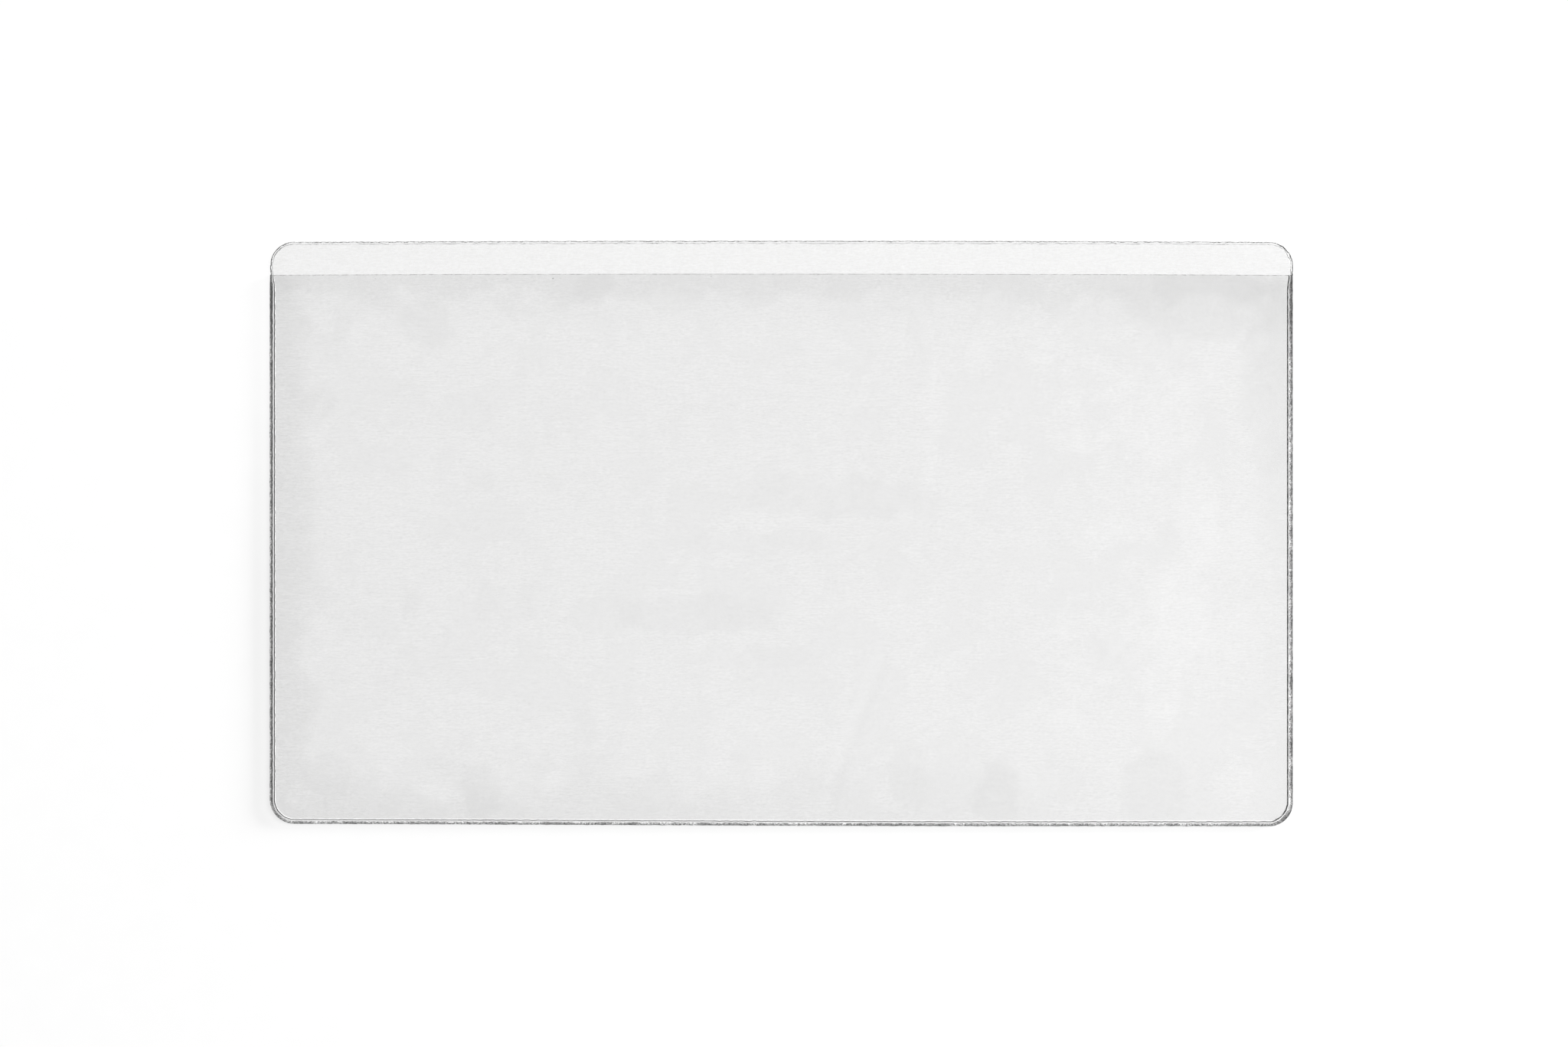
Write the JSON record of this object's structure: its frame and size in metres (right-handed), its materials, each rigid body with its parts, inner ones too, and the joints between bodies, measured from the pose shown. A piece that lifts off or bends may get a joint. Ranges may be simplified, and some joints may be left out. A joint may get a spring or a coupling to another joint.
{
  "type": "self-adhesive pocket",
  "caption": "Clear self-adhesive card pocket, welded on three sides and open along the long top side, with a release paper in two halves.",
  "frame": {"origin": "centre of the pocket's outline, on the underside of the release paper that it lies on", "axes": "+X along the long side, +Y towards the open side, +Z out of the front film"},
  "size_m": [0.105, 0.06, 0.0007],
  "materials": {
    "clear_back_film": "clear, glossy",
    "clear_front_film": "clear, glossy, with fine streaks along the long side",
    "clear_weld": "clear, pressed and cut hot, with a rough bead outside",
    "clear_adhesive": "clear, tacky",
    "release_paper": "smooth, silicone-coated"
  },
  "bodies": {
    "pocket": {"back_film": "clear_back_film", "weld_seam": "clear_weld", "adhesive_layer": "clear_adhesive"},
    "front_film": {"front_film": "clear_front_film"},
    "liner_left": {"release_liner_left": "release_paper"},
    "liner_right": {"release_liner_right": "release_paper"}
  },
  "joints": [
    {"name": "mouth_open", "type": "hinge", "parent": "pocket", "child": "front_film", "pos_m": [0, -0.02945, 0.00063], "axis": [1, 0, 0], "range_deg": [0, 5], "stiffness_Nm_per_rad": 0.002},
    {"name": "liner_left_peel", "type": "hinge", "parent": "pocket", "child": "liner_left", "pos_m": [-0.0525, 0, 0.0001], "axis": [0, 1, 0], "range_deg": [0, 180]},
    {"name": "liner_right_peel", "type": "hinge", "parent": "pocket", "child": "liner_right", "pos_m": [0.0525, 0, 0.0001], "axis": [0, -1, 0], "range_deg": [0, 180]}
  ]
}
